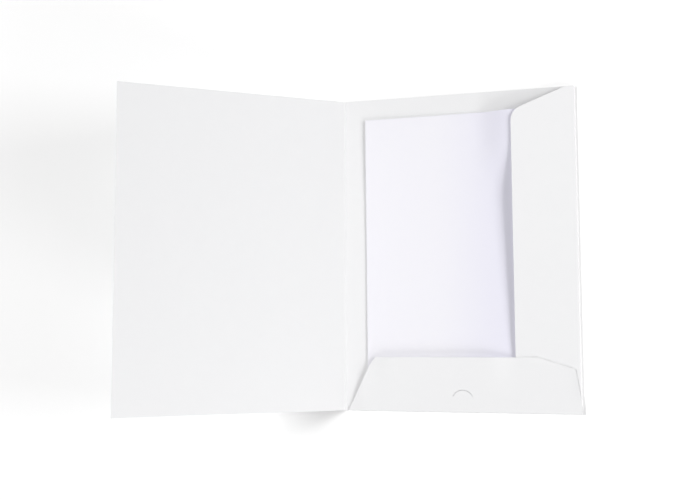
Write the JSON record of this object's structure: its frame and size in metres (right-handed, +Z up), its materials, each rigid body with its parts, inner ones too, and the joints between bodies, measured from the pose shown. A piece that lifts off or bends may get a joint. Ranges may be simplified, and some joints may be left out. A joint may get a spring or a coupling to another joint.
{
  "type": "presentation folder",
  "caption": "Open card presentation folder with a pocket of folded side and bottom flaps, a half-moon card slit and a stack of paper inside.",
  "frame": {"origin": "middle of the back cover's underside, on the table", "axes": "+Z up from the table, +Y along the spine to the folder's top edge, +X from the spine to the back cover's outer edge"},
  "size_m": [0.4212, 0.32, 0.1446],
  "materials": {
    "card": "uncoated white card, matt",
    "paper": "uncoated blue-white printing paper, matt"
  },
  "bodies": {
    "back": {"back_cover": "card", "sheets": "paper"},
    "front": {"front_cover": "card"}
  },
  "joints": [
    {"name": "spine_fold", "type": "hinge", "parent": "back", "child": "front", "pos_m": [-0.1175, 0, 0.00085], "axis": [0, 1, 0], "range_deg": [-37.5, 133.5]}
  ]
}
